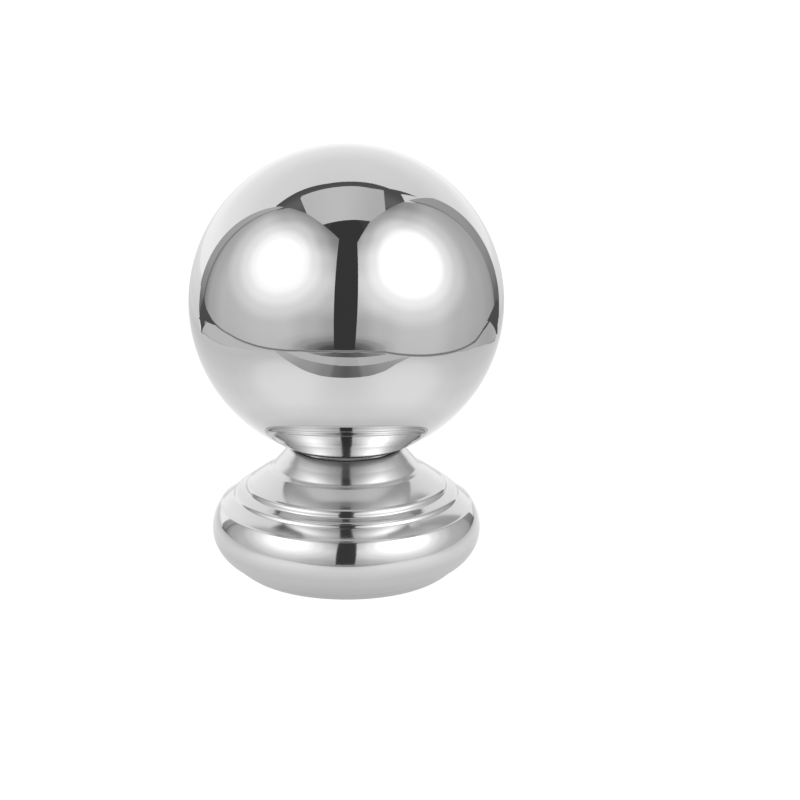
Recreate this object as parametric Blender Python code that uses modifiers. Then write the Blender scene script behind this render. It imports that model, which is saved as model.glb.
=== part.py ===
# Stair railing finial in polished stainless steel: a hollow ball on a spun, stepped base shell.
# The finial stands on the world origin, +Z up, with its foot rim at Z = 0.
import math

import bmesh
import bpy

for old in list(bpy.data.objects):
    bpy.data.objects.remove(old)

# ball
BALL_DIAMETER = 0.0985
SEAT_GAP = 0.0003  # between the neck's rim and the ball that sits in it

# sheet metal of the base shell
WALL = 0.001
LIP_WIDTH = 0.0035  # flat lip turned in under the foot, which the finial stands on

# heights of the base outline, each one the rise from the level below it
FLARE_RISE = 0.0032  # foot rim to the start of the bead
BEAD_RISE = 0.0092  # start of the bead to its widest level
SHOULDER_RISE = 0.0085  # widest level to the bead's upper shoulder
CROWN_RISE = 0.0011  # shoulder to the crease on top of the bead
LOWER_STEP_RISE = 0.0032  # crease to the top edge of the lower step
UPPER_STEP_RISE = 0.0030  # top edge of the lower step to that of the upper step
CONE_RISE = 0.0042  # top edge of the upper step to the foot of the neck
BEND_RISE = 0.0014  # soft bend from the cone into the neck
WAIST_RISE = 0.0032  # bend to the place where the neck steepens
NECK_RISE = 0.0032  # that place to the neck's rim

# radii of the base outline
FOOT_RADIUS = 0.0333
FLARE_RADIUS = 0.0370
BEAD_RADIUS = 0.0426
SHOULDER_RADIUS = 0.0401
CROWN_RADIUS = 0.0388
LOWER_STEP_RADIUS = 0.03565
UPPER_STEP_RADIUS = 0.03155
CONE_RADIUS = 0.0243
BEND_RADIUS = 0.0229
WAIST_RADIUS = 0.0203
NECK_RADIUS = 0.0183

# edges of the two steps
STEP_ROUND = 0.0014  # how far in and down each step's top edge is rounded
TREAD_RISE = 0.0009  # how far the lower step's tread climbs from its edge to the upper step
TREAD_INSET = 0.0005  # how far the tread's inner corner stands out from the upper step
COVE_SIZE = 0.0008  # hollow between the bead's crease and the lower step

# arcs of the outline, each a rise over its chord, hollow ones below zero
FLARE_ARC = 0.03
BEAD_ARC = 0.118
SHOULDER_ARC = 0.10
COVE_ARC = -0.2
STEP_ARC = 0.18
BEND_ARC = -0.06

ROUND_STEPS = 52  # flats round the base and the ball
BALL_RINGS = 26


def arc(start, end, rise, count):
    """Points of a round arc from start to end, without start; rise is its height over its chord."""
    chord = math.dist(start, end)
    radius = chord * (0.25 + rise * rise) / (2 * abs(rise))
    along = ((end[0] - start[0]) / chord, (end[1] - start[1]) / chord)
    side = math.copysign(1.0, rise)
    outward = (-along[1] * side, along[0] * side)
    depth = radius - abs(rise) * chord
    centre = [(start[k] + end[k]) / 2 - outward[k] * depth for k in (0, 1)]
    half = math.asin(chord / 2 / radius)
    points = []
    for step in range(1, count + 1):
        angle = half * (2 * step / count - 1)
        points.append(tuple(
            centre[k] + radius * (outward[k] * math.cos(angle) + along[k] * math.sin(angle)) for k in (0, 1)))
    return points


def base_outline():
    """Outer side of the base shell as (radius, height) points, from the neck's rim down to the lip."""
    flare = (FLARE_RADIUS, FLARE_RISE)
    bead = (BEAD_RADIUS, flare[1] + BEAD_RISE)
    shoulder = (SHOULDER_RADIUS, bead[1] + SHOULDER_RISE)
    crown = (CROWN_RADIUS, shoulder[1] + CROWN_RISE)
    lower_top = crown[1] + LOWER_STEP_RISE
    upper_top = lower_top + UPPER_STEP_RISE
    cone = (CONE_RADIUS, upper_top + CONE_RISE)
    bend = (BEND_RADIUS, cone[1] + BEND_RISE)
    waist = (WAIST_RADIUS, bend[1] + WAIST_RISE)
    rim = (NECK_RADIUS, waist[1] + NECK_RISE)
    points = [rim, waist, bend]
    points += arc(bend, cone, BEND_ARC, 3)
    points.append((UPPER_STEP_RADIUS - STEP_ROUND, upper_top))
    points += arc(points[-1], (UPPER_STEP_RADIUS, upper_top - STEP_ROUND), STEP_ARC, 4)
    points.append((UPPER_STEP_RADIUS + TREAD_INSET, lower_top + TREAD_RISE))
    points.append((LOWER_STEP_RADIUS - STEP_ROUND, lower_top))
    points += arc(points[-1], (LOWER_STEP_RADIUS, lower_top - STEP_ROUND), STEP_ARC, 4)
    points.append((LOWER_STEP_RADIUS + COVE_SIZE, crown[1] + COVE_SIZE))
    points += arc(points[-1], (LOWER_STEP_RADIUS + 2 * COVE_SIZE, crown[1] + COVE_SIZE / 4), COVE_ARC, 3)
    points.append(crown)
    points.append(shoulder)
    points += arc(shoulder, bead, SHOULDER_ARC, 4)
    points += arc(bead, flare, BEAD_ARC, 4)
    points += arc(flare, (FOOT_RADIUS, 0.0), FLARE_ARC, 2)
    points.append((FOOT_RADIUS - LIP_WIDTH, 0.0))
    return points


def steel(name):
    """Mirror-polished stainless steel, in the neutral grey of the photograph."""
    material = bpy.data.materials.new(name)
    material.use_nodes = True
    shader = material.node_tree.nodes["Principled BSDF"]
    shader.inputs["Base Color"].default_value = (0.70, 0.70, 0.70, 1.0)
    shader.inputs["Metallic"].default_value = 1.0
    shader.inputs["Roughness"].default_value = 0.05
    return material


def add_object(name, mesh, collection):
    """A named object with its own steel material, in the finial's collection."""
    mesh.materials.append(steel(name + "_steel"))
    thing = bpy.data.objects.new(name, mesh)
    collection.objects.link(thing)
    return thing


def add_base(collection):
    """The spun shell: its outline turned round Z, then given its wall inwards."""
    outline = bmesh.new()
    corners = [outline.verts.new((radius, 0.0, height)) for radius, height in base_outline()]
    for upper, lower in zip(corners, corners[1:]):
        outline.edges.new((upper, lower))
    mesh = bpy.data.meshes.new("base")
    outline.to_mesh(mesh)
    outline.free()
    base = add_object("base", mesh, collection)
    turn = base.modifiers.new("turn", "SCREW")
    turn.steps = ROUND_STEPS
    turn.render_steps = ROUND_STEPS
    turn.use_merge_vertices = True
    turn.merge_threshold = 0.00005
    turn.use_smooth_shade = True
    wall = base.modifiers.new("wall", "SOLIDIFY")
    wall.thickness = WALL
    wall.offset = -1.0
    wall.use_even_offset = True
    return base


def add_ball(collection):
    """The ball, seated on the neck's rim with the seat gap all round."""
    radius = BALL_DIAMETER / 2
    rim_radius, rim_height = base_outline()[0]
    ball_mesh = bmesh.new()
    bmesh.ops.create_uvsphere(ball_mesh, u_segments=ROUND_STEPS, v_segments=BALL_RINGS, radius=radius)
    mesh = bpy.data.meshes.new("ball")
    ball_mesh.to_mesh(mesh)
    ball_mesh.free()
    mesh.shade_smooth()
    ball = add_object("ball", mesh, collection)
    ball.location.z = rim_height + math.sqrt((radius + SEAT_GAP) ** 2 - rim_radius ** 2)
    return ball


finial = bpy.data.collections.new("stair_railing_finial")
bpy.context.scene.collection.children.link(finial)
add_base(finial)
add_ball(finial)
bpy.context.view_layer.update()
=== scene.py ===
import math

import bmesh
import bpy
from mathutils import Matrix, Vector


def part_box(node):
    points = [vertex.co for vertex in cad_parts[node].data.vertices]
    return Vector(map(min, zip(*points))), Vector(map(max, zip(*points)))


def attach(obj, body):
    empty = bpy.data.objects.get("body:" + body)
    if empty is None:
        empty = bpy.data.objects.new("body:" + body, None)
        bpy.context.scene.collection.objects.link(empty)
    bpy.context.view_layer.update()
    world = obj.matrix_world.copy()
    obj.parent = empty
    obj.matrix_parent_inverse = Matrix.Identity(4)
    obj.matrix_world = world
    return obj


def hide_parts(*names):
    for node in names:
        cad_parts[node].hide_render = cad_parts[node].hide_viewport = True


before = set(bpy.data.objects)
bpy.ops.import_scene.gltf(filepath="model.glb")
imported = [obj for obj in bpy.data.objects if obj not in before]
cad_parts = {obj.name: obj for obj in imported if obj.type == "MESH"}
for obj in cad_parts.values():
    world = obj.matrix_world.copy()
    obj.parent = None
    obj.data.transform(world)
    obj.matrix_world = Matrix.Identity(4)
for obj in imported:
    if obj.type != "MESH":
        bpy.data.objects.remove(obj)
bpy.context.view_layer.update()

ballLow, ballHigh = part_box("ball")
ballCentre = (ballLow + ballHigh) / 2
ballRadius = (ballHigh.z - ballLow.z) / 2


# small helpers for node trees and meshes

def newTree(name):
    material = bpy.data.materials.new(name)
    material.use_nodes = True
    nodes = material.node_tree.nodes
    nodes.clear()
    return material, nodes, material.node_tree.links


def mathNode(nodes, links, operation, first, second=None):
    node = nodes.new("ShaderNodeMath")
    node.operation = operation
    for socket, value in zip(node.inputs, (first, second)):
        if isinstance(value, (int, float)):
            socket.default_value = value
        elif value is not None:
            links.new(value, socket)
    return node.outputs[0]


def rangeNode(nodes, links, value, fromRange, toRange):
    node = nodes.new("ShaderNodeMapRange")
    links.new(value, node.inputs["Value"])
    node.inputs["From Min"].default_value, node.inputs["From Max"].default_value = fromRange
    node.inputs["To Min"].default_value, node.inputs["To Max"].default_value = toRange
    return node.outputs[0]


def rampNode(nodes, links, value, stops):
    # a smooth curve along a value, through stops of (value, result)
    low, high = stops[0][0], stops[-1][0]
    top = max(result for _, result in stops)
    fade = nodes.new("ShaderNodeValToRGB")
    fade.color_ramp.interpolation = "EASE"
    ready = len(fade.color_ramp.elements)   # the stops that a new ramp has
    for index, (place, result) in enumerate(stops):
        along = (place - low) / (high - low)
        stop = fade.color_ramp.elements[index] if index < ready else fade.color_ramp.elements.new(along)
        stop.position = along
        stop.color = (result / top, result / top, result / top, 1)
    links.new(rangeNode(nodes, links, value, (low, high), (0, 1)), fade.inputs[0])
    return mathNode(nodes, links, "MULTIPLY", fade.outputs[0], top)


def lengthNode(nodes, links, first, second):
    firstSquare = mathNode(nodes, links, "MULTIPLY", first, first)
    secondSquare = mathNode(nodes, links, "MULTIPLY", second, second)
    return mathNode(nodes, links, "SQRT", mathNode(nodes, links, "ADD", firstSquare, secondSquare))


def noiseNode(nodes, links, vector, scale, detail):
    node = nodes.new("ShaderNodeTexNoise")
    links.new(vector, node.inputs["Vector"])
    node.inputs["Scale"].default_value = scale
    node.inputs["Detail"].default_value = detail
    return node.outputs["Fac"]


def showPiece(mesh, name, material):
    data = bpy.data.meshes.new(name)
    mesh.to_mesh(data)
    mesh.free()
    data.shade_smooth()
    data.materials.append(material)
    piece = bpy.data.objects.new(name, data)
    bpy.context.scene.collection.objects.link(piece)
    return piece


# polished and brushed steel

steelLook = {
    "grey": (.688, .712),                   # how bright the steel is, least and most
    "greyHaze": (.3, .7),                   # haze at which it is least and most bright
    "mirror": (.012, .045),                 # roughness of the ball, clean polish and hazy polish
    # roughness of the brushed base by height: bead, cone, neck
    "brushed": ((.0198, .085), (.0215, .11), (.0322, .12), (.0336, .175), (.04, .175)),
    "brushedHaze": (.95, 1.15),             # share of that roughness, clean and hazy
    "roughHaze": (.42, .68),                # haze at which the polish is clean and hazy
    "smear": .75,                           # how far brushing smears reflections
    "quarterTurn": .25,                     # from along the brushing to across it
    "hazeScale": 38, "hazeDetail": 6,       # scales are per metre
    "scratchScale": 900, "scratchDetail": 3,
    "scratchTurn": (.6, .9, .3), "scratchStretch": (1, .06, 1),
    "lineScale": 3800, "lineDetail": 2,     # turning lines, across the lines
    "lineDepth": .0000008, "scratchDepth": .0000006,
    "paintedCreviceShade": .4,                       # painted shade: how dark the steel is painted in the crevice where the ball meets the neck
}


def scratchNode(nodes, links, place):
    stretched = nodes.new("ShaderNodeMapping")
    stretched.inputs["Rotation"].default_value = steelLook["scratchTurn"]
    stretched.inputs["Scale"].default_value = steelLook["scratchStretch"]
    links.new(place, stretched.inputs["Vector"])
    return noiseNode(nodes, links, stretched.outputs[0],
                     steelLook["scratchScale"], steelLook["scratchDetail"])


def lineNode(nodes, links, parts):
    # turning lines, which vary with the height and with the distance from the axis
    fromAxis = lengthNode(nodes, links, parts.outputs["X"], parts.outputs["Y"])
    acrossLines = nodes.new("ShaderNodeCombineXYZ")
    links.new(fromAxis, acrossLines.inputs["X"])
    links.new(parts.outputs["Z"], acrossLines.inputs["Z"])
    return noiseNode(nodes, links, acrossLines.outputs[0],
                     steelLook["lineScale"], steelLook["lineDetail"])


def brushRound(nodes, links, place, shader):
    # reflections smear across the brushing, which runs round the axis
    across = nodes.new("ShaderNodeVectorMath")
    across.operation = "CROSS_PRODUCT"
    across.inputs[0].default_value = (0, 0, 1)
    links.new(place, across.inputs[1])
    links.new(across.outputs[0], shader.inputs["Tangent"])
    shader.inputs["Anisotropic"].default_value = steelLook["smear"]
    shader.inputs["Anisotropic Rotation"].default_value = steelLook["quarterTurn"]


def steel(name, lineShare, brushed, creviceShadeHeights):
    # faint haze, hair scratches, turning lines, and painted shade in the crevice where the ball meets the
    # neck
    material, nodes, links = newTree(name)
    place = nodes.new("ShaderNodeTexCoord").outputs["Object"]
    parts = nodes.new("ShaderNodeSeparateXYZ")
    links.new(place, parts.inputs[0])
    lines = lineNode(nodes, links, parts)
    scratches = scratchNode(nodes, links, place)
    haze = noiseNode(nodes, links, place, steelLook["hazeScale"], steelLook["hazeDetail"])

    shader = nodes.new("ShaderNodeBsdfPrincipled")
    grey = rangeNode(nodes, links, haze, steelLook["greyHaze"], steelLook["grey"])
    # painted shade: the steel's colour darkens in the crevice where the ball meets the neck
    paintedShade = rangeNode(nodes, links, parts.outputs["Z"], creviceShadeHeights, (1, steelLook["paintedCreviceShade"]))
    grey = mathNode(nodes, links, "MULTIPLY", grey, paintedShade)
    colour = nodes.new("ShaderNodeCombineColor")
    for channel in colour.inputs:
        links.new(grey, channel)
    links.new(colour.outputs[0], shader.inputs["Base Color"])
    shader.inputs["Metallic"].default_value = 1
    roughness = steelLook["brushedHaze"] if brushed else steelLook["mirror"]
    rough = rangeNode(nodes, links, haze, steelLook["roughHaze"], roughness)
    if brushed:
        rough = mathNode(nodes, links, "MULTIPLY", rough,
                         rampNode(nodes, links, parts.outputs["Z"], steelLook["brushed"]))
        brushRound(nodes, links, place, shader)
    links.new(rough, shader.inputs["Roughness"])
    surface = mathNode(nodes, links, "ADD",
                       mathNode(nodes, links, "MULTIPLY", lines, lineShare * steelLook["lineDepth"]),
                       mathNode(nodes, links, "MULTIPLY", scratches, steelLook["scratchDepth"]))
    bump = nodes.new("ShaderNodeBump")
    bump.inputs["Distance"].default_value = 1
    links.new(surface, bump.inputs["Height"])
    links.new(bump.outputs[0], shader.inputs["Normal"])
    end = nodes.new("ShaderNodeOutputMaterial")
    links.new(shader.outputs[0], end.inputs["Surface"])
    return material


# ball

ball = {
    "segments": 256, "rings": 128,
    "creviceShadeHeights": (.042, .0414),                 # heights between which painted shade darkens it towards the neck
    "lineShare": .3,                        # how strong its turning lines are
}


def makeBall():
    mesh = bmesh.new()
    bmesh.ops.create_uvsphere(mesh, u_segments=ball["segments"], v_segments=ball["rings"],
                              radius=ballRadius)
    bmesh.ops.translate(mesh, verts=mesh.verts, vec=ballCentre)
    piece = showPiece(mesh, "ballShell", steel("ballPolish", ball["lineShare"], False, ball["creviceShadeHeights"]))
    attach(piece, "root")
    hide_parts("ball")


makeBall()
print("ball made")


# base

base = {
    "segments": 192, "wall": .001,
    "arcEdge": .00035, "longestEdge": .000525, "mergeWithin": .000002,
    "lineShare": .5,                        # how strong its turning lines are
    "creviceShadeHeights": (.0388, .0396),                # heights between which painted shade darkens the rim towards the ball
    "start": (.0168, .0395),                # the neck's rim, under the ball
    # each step of the outline goes to a (radius, height), bulging by a share of its chord
    "outline": [
        ((.0182, .0391), .2),
        ((.0206, .0362), 0),                # neck
        ((.0230, .0334), .006),
        ((.0243, .0323), .01),
        ((.0307, .0280), .014),             # cone
        ((.0319, .0267), .14),              # top edge of the upper step
        ((.0322, .0260), -.1),
        ((.0339, .0254), 0),                # tread
        ((.0358, .0239), .13),              # top edge of the lower step
        ((.0395, .0211), .018),
        ((.0399, .0209), -.1),
        ((.04262, .0116), .096),            # bead
        ((.0370, .0031), .118),
        ((.0333, 0), .03),                  # foot
        ((.0298, 0), 0),                    # lip turned in under the foot
    ],
}


def arcTo(mesh, last, end, bulge):
    # a straight edge, or a vertex spun round the arc's centre
    start = last.co.copy()
    chord = end - start
    if bulge == 0:
        corner = mesh.verts.new(end)
        mesh.edges.new((last, corner))
        return corner
    steps = math.ceil(chord.length / base["arcEdge"])
    half = 2 * math.atan(2 * bulge)
    out = Vector((-chord.z, 0, chord.x)).normalized()
    centre = (start + end) / 2 - out * chord.length / 2 / math.tan(half)
    turned = bmesh.ops.spin(mesh, geom=[last], cent=centre, axis=(0, 1, 0), dvec=(0, 0, 0),
                            angle=2 * half, steps=steps, use_merge=False, use_duplicate=False)
    return [item for item in turned["geom_last"] if isinstance(item, bmesh.types.BMVert)][0]


def longEdgesOf(mesh):
    return [edge for edge in mesh.edges if edge.calc_length() > base["longestEdge"]]


def makeBase():
    mesh = bmesh.new()
    last = mesh.verts.new((base["start"][0], 0, base["start"][1]))
    for (radius, height), bulge in base["outline"]:
        last = arcTo(mesh, last, Vector((radius, 0, height)), bulge)
    while longEdges := longEdgesOf(mesh):
        bmesh.ops.subdivide_edges(mesh, edges=longEdges, cuts=1)
    bmesh.ops.spin(mesh, geom=mesh.verts[:] + mesh.edges[:], cent=(0, 0, 0), axis=(0, 0, 1),
                   dvec=(0, 0, 0), angle=2 * math.pi, steps=base["segments"],
                   use_merge=True, use_duplicate=False)
    bmesh.ops.remove_doubles(mesh, verts=mesh.verts, dist=base["mergeWithin"])
    bmesh.ops.recalc_face_normals(mesh, faces=mesh.faces)
    piece = showPiece(mesh, "baseShell", steel("basePolish", base["lineShare"], True, base["creviceShadeHeights"]))
    wall = piece.modifiers.new("wall", "SOLIDIFY")
    wall.thickness = base["wall"]
    wall.offset = -1
    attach(piece, "root")
    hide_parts("base")


makeBase()
print("base made")


# studio: a white table in a light tent, its two diffusers meeting in front with a slit for the camera

globe = {
    "radius": 1.2, "centre": (0, 0, .06),
    "turnSteps": 96, "climbSteps": 48,
    "cutThrough": (0, 0, .1),               # a place on every plane that trims a part
}


def measureNode(nodes, links, measure):
    # x or y; x either way; the azimuth or elevation from the globe's centre in degrees; or a distance
    place = nodes.new("ShaderNodeTexCoord").outputs["Object"]
    centred = nodes.new("ShaderNodeVectorMath")
    centred.operation = "SUBTRACT"
    centred.inputs[1].default_value = globe["centre"]
    links.new(place, centred.inputs[0])
    parts = nodes.new("ShaderNodeSeparateXYZ")
    links.new(centred.outputs[0], parts.inputs[0])
    x, y, z = parts.outputs
    if measure == "x":
        return x
    if measure == "y":
        return y
    if measure == "aside":
        return mathNode(nodes, links, "ABSOLUTE", x)
    turn = mathNode(nodes, links, "ARCTAN2", x, mathNode(nodes, links, "MULTIPLY", y, -1))
    azimuth = mathNode(nodes, links, "DEGREES", turn)
    climb = mathNode(nodes, links, "ARCTAN2", z, lengthNode(nodes, links, x, y))
    elevation = mathNode(nodes, links, "DEGREES", climb)
    if measure == "azimuth":
        return azimuth
    if measure == "elevation":
        return elevation
    # a distance from one place: in degrees for a lamp, on the table for a spot or for a pair of them
    kind, along, across, alongScale, acrossScale = measure
    if kind == "lamp":
        first, second = azimuth, elevation
    elif kind == "pair":
        first, second = mathNode(nodes, links, "ABSOLUTE", x), y
    else:
        first, second = x, y
    first = mathNode(nodes, links, "SUBTRACT", first, along)
    second = mathNode(nodes, links, "SUBTRACT", second, across)
    return lengthNode(nodes, links, mathNode(nodes, links, "MULTIPLY", first, alongScale),
                      mathNode(nodes, links, "MULTIPLY", second, acrossScale))


def glow(name, terms):
    # an even glow, or a sum of terms, each the product of ramps along a measure
    material, nodes, links = newTree(name + "Glow")
    light = nodes.new("ShaderNodeEmission")
    end = nodes.new("ShaderNodeOutputMaterial")
    links.new(light.outputs[0], end.inputs["Surface"])
    if isinstance(terms, (int, float)):
        light.inputs["Strength"].default_value = terms
        return material
    total = None
    for term in terms:
        product = None
        for measure, stops in term:
            ramp = rampNode(nodes, links, measureNode(nodes, links, measure), stops)
            product = ramp if product is None else mathNode(nodes, links, "MULTIPLY", product, ramp)
        total = product if total is None else mathNode(nodes, links, "ADD", total, product)
    links.new(total, light.inputs["Strength"])
    return material


def stagePart(mesh, name, terms, seen=False):
    part = showPiece(mesh, name, glow(name, terms))
    part.visible_camera = seen
    return part


# straight edges of the globe's parts, each through two places by azimuth and elevation in degrees
leftTop = [((-10, 58.8), (-74, 66.7)), ((-74, 66.7), (-111, 51.3))]
rightTop = [((12, 55), (40, 68)), ((40, 68), (123, 48.7))]
slitEdge = ((8.5, 20), (12.2, 55))
leftInner, rightInner = ((-108, 45), (-121, -4)), ((118, 45), (131.5, -4))
leftSeamEdge, rightSeamEdge = ((-110, 45), (-123, -4)), ((120, 45), (133, -4))
leftOuter, rightOuter = ((-110.5, 51), (-130, 2)), ((127, 48), (143.2, -5))

# parts of the globe: azimuths, elevations, distance as a share of the radius, straight edges, brightness
globeParts = {
    "leftDiffuser": ((-125, -8.6), (-40, 85), 1, leftTop + [leftInner], [
        [("azimuth", ((-121.5, .34), (-112, .53), (-96, .66), (-60, .76), (-44, .76), (-26, .64),
                      (-8, .5))),
         ("elevation", ((-22, .92), (-6, .96), (10, 1), (44, 1), (57, .62), (68, .34))),
         (("lamp", -5, -20, .55, 1.9), ((0, .08), (6.5, .22), (11, .42), (16, .7), (22, .92), (27, 1)))],
        [(("lamp", -58, 34, .82, 1.12), ((0, 1.4), (12, .98), (19, .64), (26, .4), (34, .17), (44, 0)))],
        [("azimuth", ((-46, 0), (-26, .14), (-8, .24))),
         ("elevation", ((0, 0), (14, .8), (26, 1), (40, .3), (50, 0)))]]),
    "rightDiffuser": ((6, 138), (-40, 85), 1, rightTop + [slitEdge, rightInner], [
        [("azimuth", ((8, .54), (24, .69), (44, .8), (64, .8), (88, .66), (110, .58), (124, .5),
                      (134, .36))),
         ("elevation", ((-26, .9), (-6, .94), (10, 1), (44, 1), (57, .66), (68, .36))),
         (("lamp", -5, -20, .55, 1.9), ((0, .08), (6.5, .22), (11, .38), (16, .66), (20, .92), (24, 1)))],
        [(("lamp", 56, 34, .84, 1.08), ((0, 1.8), (12, 1.34), (20, .82), (28, .42), (36, .19), (48, 0)))],
        [("azimuth", ((8, .22), (26, .13), (44, 0))),
         ("elevation", ((0, 0), (14, .8), (26, 1), (40, .3), (50, 0)))]]),
    "leftSeam": ((-131, -105), (-40, 60), 1.01, leftTop + [leftSeamEdge], [
        [("elevation", ((-14, .05), (-8, .09), (-4, .18), (8, .26), (24, .31), (50, .42)))]]),
    "rightSeam": ((115, 144.5), (-40, 60), 1.01, rightTop + [rightSeamEdge], [
        [("elevation", ((-14, .05), (-8, .1), (-4, .2), (8, .34), (24, .36), (50, .3)))]]),
    "leftEnd": ((-131, -105), (-40, 85), 1.02, leftTop + [leftOuter], [
        [("elevation", ((-18, .06), (-12, .1), (-7, .2), (0, .34), (10, .43), (26, .49), (50, .54)))]]),
    "rightEnd": ((115, 144.5), (-40, 85), 1.02, rightTop + [rightOuter], [
        [("elevation", ((-18, .06), (-12, .08), (-7, .17), (0, .28), (10, .36), (26, .42), (50, .44)))]]),
    "slit": ((-25, 25), (-45, 85), 1.04, [], .05),
}


def globePlace(azimuth, elevation):
    turn, climb = math.radians(azimuth), math.radians(elevation)
    return Vector(globe["centre"]) + globe["radius"] * Vector((
        math.sin(turn) * math.cos(climb), -math.cos(turn) * math.cos(climb), math.sin(climb)))


def makeGlobePart(name, azimuth, elevation, distance, cuts, terms):
    # two spins round the finial, trimmed along straight edges
    mesh = bmesh.new()
    centre = Vector(globe["centre"])
    low, high = (math.radians(value) for value in elevation)
    left, right = (math.radians(value) for value in azimuth)
    reach = globe["radius"] * distance
    first = mesh.verts.new(centre + Vector((0, -math.cos(low), math.sin(low))) * reach)
    bmesh.ops.spin(mesh, geom=[first], cent=centre, axis=(1, 0, 0), dvec=(0, 0, 0),
                   angle=low - high, steps=globe["climbSteps"], use_merge=False, use_duplicate=False)
    bmesh.ops.rotate(mesh, verts=mesh.verts, cent=centre, matrix=Matrix.Rotation(left, 3, "Z"))
    bmesh.ops.spin(mesh, geom=mesh.verts[:] + mesh.edges[:], cent=centre, axis=(0, 0, 1),
                   dvec=(0, 0, 0), angle=right - left, steps=globe["turnSteps"],
                   use_merge=False, use_duplicate=False)
    through = Vector(globe["cutThrough"])
    for start, end in cuts:
        normal = (globePlace(*start) - through).cross(globePlace(*end) - through).normalized()
        if normal.z < 0:
            normal.negate()
        bmesh.ops.bisect_plane(mesh, geom=mesh.verts[:] + mesh.edges[:] + mesh.faces[:],
                               plane_co=through, plane_no=normal, clear_outer=True)
    stagePart(mesh, name, terms)


# lines on the table, seen from above: the foot of the diffusers, and the edge of the table's bright part
footLine = ((-.41, .147), (-.352, .057), (-.31, -.019), (-.246, -.094), (-.186, -.156), (-.126, -.214),
            (-.035, -.252), (.035, -.252), (.103, -.217), (.149, -.142), (.183, -.081), (.209, -.024),
            (.238, .046), (.286, .109), (.332, .227))
brightLeft = ((-.37, .282), (-.267, .199), (-.221, .155), (-.236, .126), (-.23, .052), (-.223, -.032),
              (-.201, -.099), (-.172, -.154))
brightRight = ((.2, -.02), (.208, .043), (.199, .098), (.164, .177), (.17, .189), (.226, .255),
               (.311, .378))
farEdge = ((.433, .554), (1.133, 1.492), (1.9, 2.5), (0, 3.5), (-2.2, 1.9), (-.73, .603))

# flat cards: corners in metres seen from above, level, brightness
cards = {
    "tentTop": (
        ((-.16, -.9), (.16, -.9), (1.1, -.3), (.92, .64), (.661, .425), (.505, .43), (.284, .422),
         (.047, .395), (-.189, .38), (-.398, .397), (-.587, .404), (-.95, .38), (-1.1, -.4)),
        1.32, [[("y", ((-.6, .06), (-.3, .07), (.1, .16), (.36, .1)))]]),
    "topOpening": (
        ((-.478, .231), (-.25, .233), (-.065, .24), (.1, .257), (.26, .262), (.387, .293), (.417, .105),
         (.459, -.085), (.52, -.335), (.3, -.336), (.097, -.347), (-.081, -.367), (-.291, -.398),
         (-.44, -.42), (-.474, -.134), (-.503, .198)),
        1.2, [[("x", ((-.5, .66), (-.1, .71), (.4, .58)))]]),
    "apron": (
        ((-.221, .155), (-.267, .199)) + footLine + ((.226, .255), (.17, .189)),
        -.0004, [[("azimuth", ((-130, .58), (-110, .64), (-90, .66), (0, .7), (90, .6), (120, .5),
                               (140, .54)))]]),
    "table": (
        brightLeft + footLine[5:11] + brightRight + farEdge,
        # the table glows with painted light, brightest round a spot behind the base
        -.0002, [[(("spot", 0, .12, 1, .5), ((0, 1.15), (.05, .98), (.09, .86), (.12, .8), (.16, .74),
                                             (.2, .7), (.3, .8), (.6, .88), (1.5, .95))),
                  # painted contact shadow: the table's glow darkens round the foot
                  (("spot", 0, 0, 1, 1), ((.03, .6), (.045, .8), (.06, .93), (.08, 1)))],
                 # two faint patches of painted light in front of the base
                 [(("pair", .085, -.09, 1, 1), ((0, .2), (.03, .18), (.08, .03), (.1, 0)))]]),
    "leftWedge": (
        ((-.734, .457), (-.511, .256), (-.435, .16), (-.357, .076), (-.344, .106), (-.327, .167),
         (-.282, .188), (-.228, .148), (-.222, .155), (-.282, .214), (-.33, .235), (-.44, .3)),
        .0008, [[("elevation", ((-18, .3), (-14.5, .22), (-12, .09), (-5, .1)))]]),
    "rightWedge": (
        ((.389, .386), (.384, .308), (.361, .224), (.331, .162), (.294, .176), (.232, .234), (.172, .192),
         (.163, .204), (.219, .257), (.281, .331)),
        .0008, [[("elevation", ((-18, .26), (-14.5, .2), (-12, .09), (-5, .1)))]]),
    "frontShade": (
        ((-.13, -.213), (-.06, -.209), (0, -.21), (.05, -.206), (.1, -.2), (.105, -.22), (.036, -.26),
         (-.036, -.26)),
        .0002, [[("aside", ((0, .12), (.03, .16), (.07, .3), (.12, .5)))]]),
    "frontRail": (
        ((-.17, -.152), (-.109, -.14), (-.067, -.131), (-.039, -.128), (.001, -.129), (.036, -.129),
         (.064, -.133), (.092, -.143), (.14, -.147), (.124, -.156), (.089, -.163), (.056, -.165),
         (.001, -.168), (-.053, -.171), (-.102, -.172), (-.164, -.178)),
        .0002, [[("aside", ((0, .14), (.018, .18), (.03, .3), (.07, .42), (.15, .55)))]]),
    "frontStrip": (
        ((-.164, -.178), (-.102, -.172), (-.053, -.171), (.001, -.168), (.056, -.165), (.089, -.163),
         (.124, -.156), (.14, -.17), (.105, -.2), (.05, -.206), (0, -.21), (-.06, -.209), (-.13, -.213)),
        .0001, [[("aside", ((0, .54), (.02, .56), (.03, .62), (.12, .64)))]]),
}


def makeCard(name, corners, level, terms):
    mesh = bmesh.new()
    bmesh.ops.contextual_create(mesh, geom=[mesh.verts.new((x, y, level)) for x, y in corners])
    stagePart(mesh, name, terms)


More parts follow.
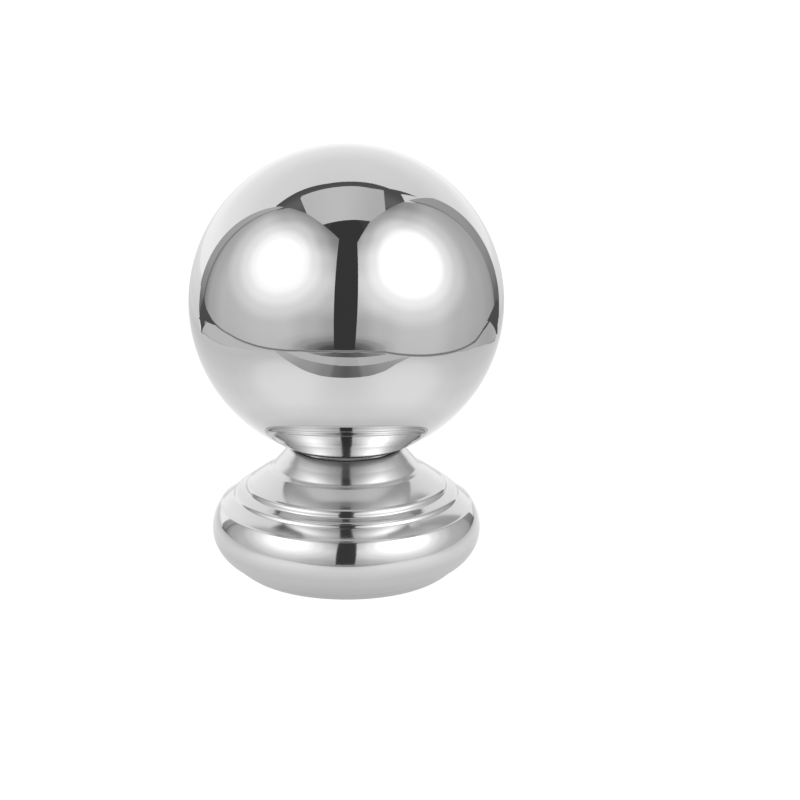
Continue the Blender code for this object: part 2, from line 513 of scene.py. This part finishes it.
# dark strips along lines on the table: line, its scale at the strip's two sides, level, brightness
hems = {
    "softHem": (
        footLine, (1.03, .96), .0003,
        [[("azimuth", ((-116, .1), (-104, .3), (-92, .44), (0, .44), (92, .44), (104, .3), (116, .1)))]]),
    "footHem": (
        footLine, (1.014, .978), .0005,
        [[("azimuth", ((-116, .05), (-104, .12), (-92, .24), (0, .24), (92, .24), (104, .12),
                       (116, .05)))]]),
    "leftHem": (
        brightLeft[2:7], (1.015, .985), .0003,
        [[("azimuth", ((-128, .4), (-120, .46), (-104, .58), (-80, .66)))]]),
    "rightHem": (
        brightRight[:5], (1.015, .985), .0003,
        [[("azimuth", ((100, .56), (115, .5), (130, .42), (140, .36)))]]),
}


def makeHem(name, line, scales, level, terms):
    mesh = bmesh.new()
    corners = [mesh.verts.new((x * scales[0], y * scales[0], level)) for x, y in line]
    edges = [mesh.edges.new(pair) for pair in zip(corners, corners[1:])]
    grown = bmesh.ops.extrude_edge_only(mesh, edges=edges)
    inner = [item for item in grown["geom"] if isinstance(item, bmesh.types.BMVert)]
    share = scales[1] / scales[0]
    bmesh.ops.scale(mesh, verts=inner, vec=(share, share, 1))
    stagePart(mesh, name, terms)


floor = {"size": 4, "level": -.0005, "brightness": 1.05}


def makeFloor():
    # the floor that the camera sees, which the steel doesn't reflect
    mesh = bmesh.new()
    bmesh.ops.create_grid(mesh, x_segments=1, y_segments=1, size=floor["size"])
    bmesh.ops.translate(mesh, verts=mesh.verts, vec=(0, 0, floor["level"]))
    part = stagePart(mesh, "floor", floor["brightness"], seen=True)
    part.visible_glossy = False


# brightness of the room by how far up, and how far to the right, a direction points
backdrop = {
    "upward": ((-1, 1), (-.2, 1), (.1, 1.08), (.35, 1), (.75, .88), (1, .86)),
    "sideways": ((-1, 1.06), (0, 1), (1, .94)),
}


def makeRoom():
    room = bpy.data.worlds.new("room")
    room.use_nodes = True
    nodes, links = room.node_tree.nodes, room.node_tree.links
    parts = nodes.new("ShaderNodeSeparateXYZ")
    links.new(nodes.new("ShaderNodeTexCoord").outputs["Generated"], parts.inputs[0])
    bright = mathNode(nodes, links, "MULTIPLY",
                      rampNode(nodes, links, parts.outputs["Z"], backdrop["upward"]),
                      rampNode(nodes, links, parts.outputs["X"], backdrop["sideways"]))
    links.new(bright, nodes["Background"].inputs["Strength"])
    nodes["Background"].inputs["Color"].default_value = (1, 1, 1, 1)
    bpy.context.scene.world = room


for name, values in globeParts.items():
    makeGlobePart(name, *values)
for name, values in cards.items():
    makeCard(name, *values)
for name, values in hems.items():
    makeHem(name, *values)
makeFloor()
makeRoom()
print("studio made")


# camera

camera = {
    "elevation": 13.5, "distance": .7, "lens": 100.74, "sensor": 36,
    "ballAt": (346.3, 301.4),               # where the ball's centre falls in the picture, in pixels
    "picture": 800,                         # the picture's side in pixels
}


def makeCamera():
    eye = bpy.data.cameras.new("photographer")
    eye.sensor_width = camera["sensor"]
    eye.lens = camera["lens"]
    eye.shift_x = .5 - camera["ballAt"][0] / camera["picture"]
    eye.shift_y = camera["ballAt"][1] / camera["picture"] - .5
    body = bpy.data.objects.new("photographer", eye)
    tilt = math.radians(camera["elevation"])
    body.location = ballCentre + Vector((0, -math.cos(tilt), math.sin(tilt))) * camera["distance"]
    body.rotation_euler = (math.radians(90) - tilt, 0, 0)
    bpy.context.scene.collection.objects.link(body)
    bpy.context.scene.camera = body
    bpy.context.scene.view_settings.view_transform = "Standard"


makeCamera()
print("camera set")

bpy.context.view_layer.update()
